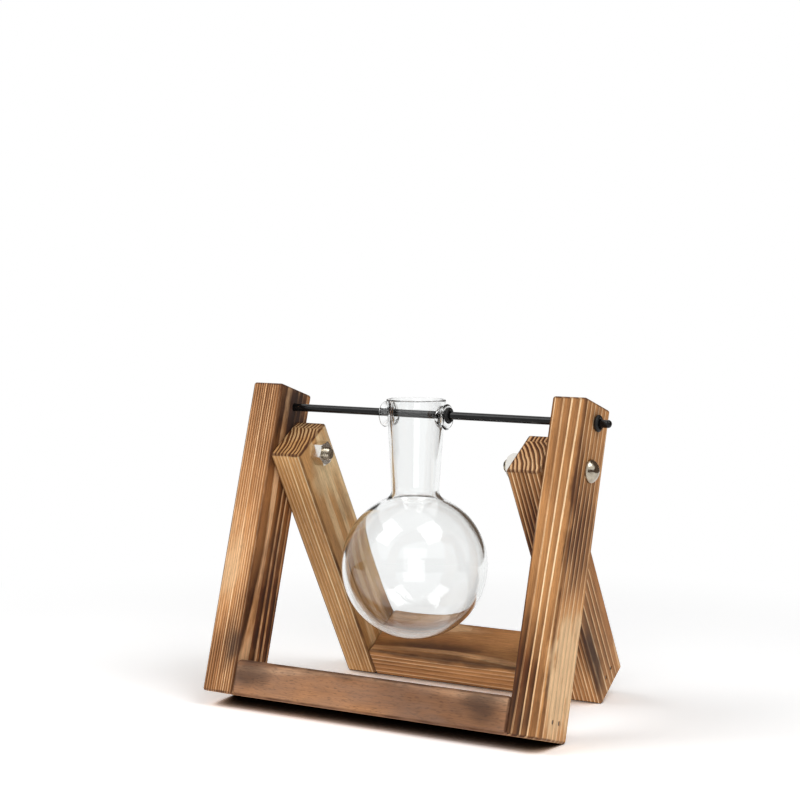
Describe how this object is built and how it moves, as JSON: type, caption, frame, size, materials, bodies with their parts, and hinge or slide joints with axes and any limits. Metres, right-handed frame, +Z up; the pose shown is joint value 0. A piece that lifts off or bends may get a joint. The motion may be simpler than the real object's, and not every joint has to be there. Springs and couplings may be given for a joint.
{
  "type": "propagation vase",
  "caption": "Round glass bulb vase hanging by flared side collars from a black rod in a folding A-shaped stand of torched pine.",
  "frame": {"origin": "on the floor, under the middle of the stand's box", "axes": "+Z up, +X along the rod to the right, -Y towards the front of the stand"},
  "size_m": [0.184, 0.121, 0.1449],
  "materials": {
    "torched_wood": "torched and brushed, satin",
    "clear_glass": "clear blown glass",
    "black_rod": "gloss black",
    "black_rubber": "satin",
    "bright_metal": "bright nickel plate",
    "nail_steel": "dull wire"
  },
  "bodies": {
    "front_frame": {"front_leg_left": "torched_wood", "front_leg_right": "torched_wood", "front_cross_bar": "torched_wood", "front_nails_left": "nail_steel", "front_nails_right": "nail_steel", "pivot_bolt_left": "bright_metal", "pivot_bolt_right": "bright_metal", "hex_nut_left": "bright_metal", "hex_nut_right": "bright_metal"},
    "rear_frame": {"rear_leg_left": "torched_wood", "rear_leg_right": "torched_wood", "rear_cross_bar": "torched_wood", "rear_nails_left": "nail_steel", "rear_nails_right": "nail_steel"},
    "rod": {"hanging_rod": "black_rod"},
    "left_end_ring": {"end_ring_left": "black_rubber"},
    "right_end_ring": {"end_ring_right": "black_rubber"},
    "vase_carrier": {"vase_ring": "black_rubber"},
    "vase": {"glass_vase": "clear_glass"}
  },
  "joints": [
    {"name": "stand_fold", "type": "hinge", "parent": "front_frame", "child": "rear_frame", "pos_m": [0, -0.01594, 0.11332], "axis": [1, 0, 0], "range_deg": [-32.8, 85]},
    {"name": "rod_turn", "type": "hinge", "parent": "front_frame", "child": "rod", "pos_m": [0, -0.01004, 0.13337], "axis": [1, 0, 0], "continuous": true},
    {"name": "left_ring_pull", "type": "slide", "parent": "rod", "child": "left_end_ring", "axis": [-1, 0, 0], "range_m": [0, 0.005]},
    {"name": "right_ring_pull", "type": "slide", "parent": "rod", "child": "right_end_ring", "axis": [1, 0, 0], "range_m": [0, 0.005]},
    {"name": "vase_shift", "type": "slide", "parent": "front_frame", "child": "vase_carrier", "axis": [1, 0, 0], "range_m": [-0.015, 0.022]},
    {"name": "vase_swing", "type": "hinge", "parent": "vase_carrier", "child": "vase", "pos_m": [-0.0035, -0.01004, 0.13337], "axis": [1, 0, 0], "continuous": true}
  ]
}
